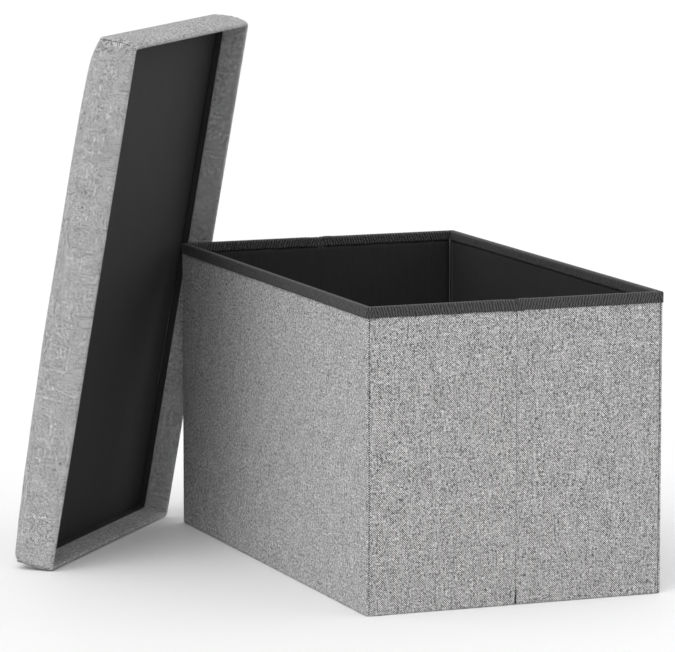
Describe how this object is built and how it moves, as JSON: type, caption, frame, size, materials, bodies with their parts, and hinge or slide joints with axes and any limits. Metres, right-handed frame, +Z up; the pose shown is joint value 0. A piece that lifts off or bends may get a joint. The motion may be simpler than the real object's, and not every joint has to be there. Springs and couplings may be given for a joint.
{
  "type": "ottoman with storage",
  "caption": "Folding storage ottoman: open fabric-covered box whose creased ends fold inward, with its loose padded lid leaning on one corner.",
  "frame": {"origin": "middle of the box's base, on the floor it stands on", "axes": "+Z up, Y along the box's long walls with a creased end at each end, X across the box; the lid leans on the corner at low X and high Y"},
  "size_m": [0.6747, 0.7186, 0.6506],
  "materials": {
    "grey_linen": "matte melange linen weave",
    "black_lining": "matte non-woven cloth",
    "black_binding": "matte woven tape",
    "fibreboard": "matte",
    "foam": "matte open-cell foam"
  },
  "bodies": {
    "left_wall": {"left_wall_cover": "grey_linen", "left_wall_board": "fibreboard", "left_wall_lining": "black_lining", "left_wall_rim_binding": "black_binding", "base_cloth": "black_lining"},
    "front_end_left": {"front_end_left_cover": "grey_linen", "front_end_left_board": "fibreboard", "front_end_left_lining": "black_lining", "front_end_left_rim_binding": "black_binding"},
    "front_end_right": {"front_end_right_cover": "grey_linen", "front_end_right_board": "fibreboard", "front_end_right_lining": "black_lining", "front_end_right_rim_binding": "black_binding"},
    "right_wall": {"right_wall_cover": "grey_linen", "right_wall_board": "fibreboard", "right_wall_lining": "black_lining", "right_wall_rim_binding": "black_binding"},
    "back_end_left": {"back_end_left_cover": "grey_linen", "back_end_left_board": "fibreboard", "back_end_left_lining": "black_lining", "back_end_left_rim_binding": "black_binding"},
    "back_end_right": {"back_end_right_cover": "grey_linen", "back_end_right_board": "fibreboard", "back_end_right_lining": "black_lining", "back_end_right_rim_binding": "black_binding"},
    "base_flap_left": {"base_flap_left_board": "fibreboard", "base_flap_left_lining": "black_lining"},
    "base_flap_right": {"base_flap_right_board": "fibreboard", "base_flap_right_lining": "black_lining"},
    "lid": {"lid_top_cover": "grey_linen", "lid_foam_pad": "foam", "lid_top_board": "fibreboard", "lid_lining_panel": "black_lining", "lid_skirt_left_cover": "grey_linen", "lid_skirt_left_board": "fibreboard", "lid_skirt_left_strip": "black_lining", "lid_skirt_right_cover": "grey_linen", "lid_skirt_right_board": "fibreboard", "lid_skirt_right_strip": "black_lining", "lid_skirt_foot_cover": "grey_linen", "lid_skirt_foot_board": "fibreboard", "lid_skirt_foot_strip": "black_lining", "lid_skirt_head_cover": "grey_linen", "lid_skirt_head_board": "fibreboard", "lid_skirt_head_strip": "black_lining"}
  },
  "joints": [
    {"name": "lid_tip", "type": "hinge", "parent": "left_wall", "child": "lid", "pos_m": [-0.35768, 0.24971, 0.00912], "axis": [-0.6475, -0.7621, 0], "range_deg": [0, 100]},
    {"name": "box_fold", "type": "hinge", "parent": "left_wall", "child": "front_end_left", "pos_m": [-0.18, -0.3105, 0], "axis": [0, 0, 1], "range_deg": [0, 82], "deforming": ["base_cloth"]},
    {"name": "front_crease", "type": "hinge", "parent": "front_end_left", "child": "front_end_right", "pos_m": [0, -0.319, 0], "axis": [0, 0, 1], "range_deg": [-164, 0]},
    {"name": "front_right_corner", "type": "hinge", "parent": "front_end_right", "child": "right_wall", "pos_m": [0.18, -0.3105, 0], "axis": [0, 0, 1], "range_deg": [0, 82]},
    {"name": "back_left_corner", "type": "hinge", "parent": "left_wall", "child": "back_end_left", "pos_m": [-0.18, 0.3105, 0], "axis": [0, 0, 1], "range_deg": [-82, 0]},
    {"name": "back_crease", "type": "hinge", "parent": "back_end_left", "child": "back_end_right", "pos_m": [0, 0.319, 0], "axis": [0, 0, 1], "range_deg": [0, 164]},
    {"name": "left_flap_fold", "type": "hinge", "parent": "left_wall", "child": "base_flap_left", "pos_m": [-0.18, 0, 0.0047], "axis": [0, -1, 0], "range_deg": [0, 82]},
    {"name": "right_flap_fold", "type": "hinge", "parent": "right_wall", "child": "base_flap_right", "pos_m": [0.18, 0, 0.0047], "axis": [0, 1, 0], "range_deg": [0, 82]}
  ],
  "couplings": [
    {"joint": "front_crease", "follows": "box_fold", "ratio": -2},
    {"joint": "front_right_corner", "follows": "box_fold", "ratio": 1},
    {"joint": "back_left_corner", "follows": "box_fold", "ratio": -1},
    {"joint": "back_crease", "follows": "box_fold", "ratio": 2},
    {"joint": "left_flap_fold", "follows": "box_fold", "ratio": 1},
    {"joint": "right_flap_fold", "follows": "box_fold", "ratio": 1}
  ]
}
